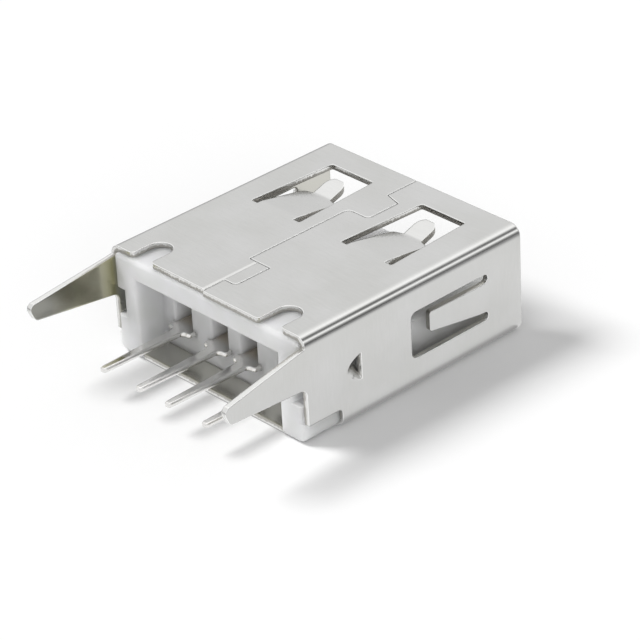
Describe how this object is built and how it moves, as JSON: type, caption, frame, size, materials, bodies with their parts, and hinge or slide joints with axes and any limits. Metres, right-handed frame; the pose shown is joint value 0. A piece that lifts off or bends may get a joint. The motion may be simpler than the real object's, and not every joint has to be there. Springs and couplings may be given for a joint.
{
  "type": "usb type-a socket",
  "caption": "Straight rectangular data socket: a folded sprung metal shell round a white contact tongue, with tails and splayed legs for soldering to a board.",
  "frame": {"origin": "in the plane of the board's surface, which is the plane of the insulator's rear face, on the centre line across the socket, level with the outside of the wide wall that has no seam", "axes": "+Y from the board to the mouth, where the plug goes in; +Z from the plain wide wall to the wide wall with the folding seam; X across the socket, with the power contact on -X and the ground contact on +X"},
  "size_m": [0.0136, 0.0186, 0.0056],
  "materials": {
    "plated_shell": "satin nickel plating",
    "white_resin": "moulded, satin",
    "tinned_contact": "bright tin plating over copper alloy"
  },
  "bodies": {
    "root": {"shell": "plated_shell", "insulator": "white_resin", "power_contact": "tinned_contact", "data_minus_contact": "tinned_contact", "data_plus_contact": "tinned_contact", "ground_contact": "tinned_contact"}
  },
  "joints": []
}
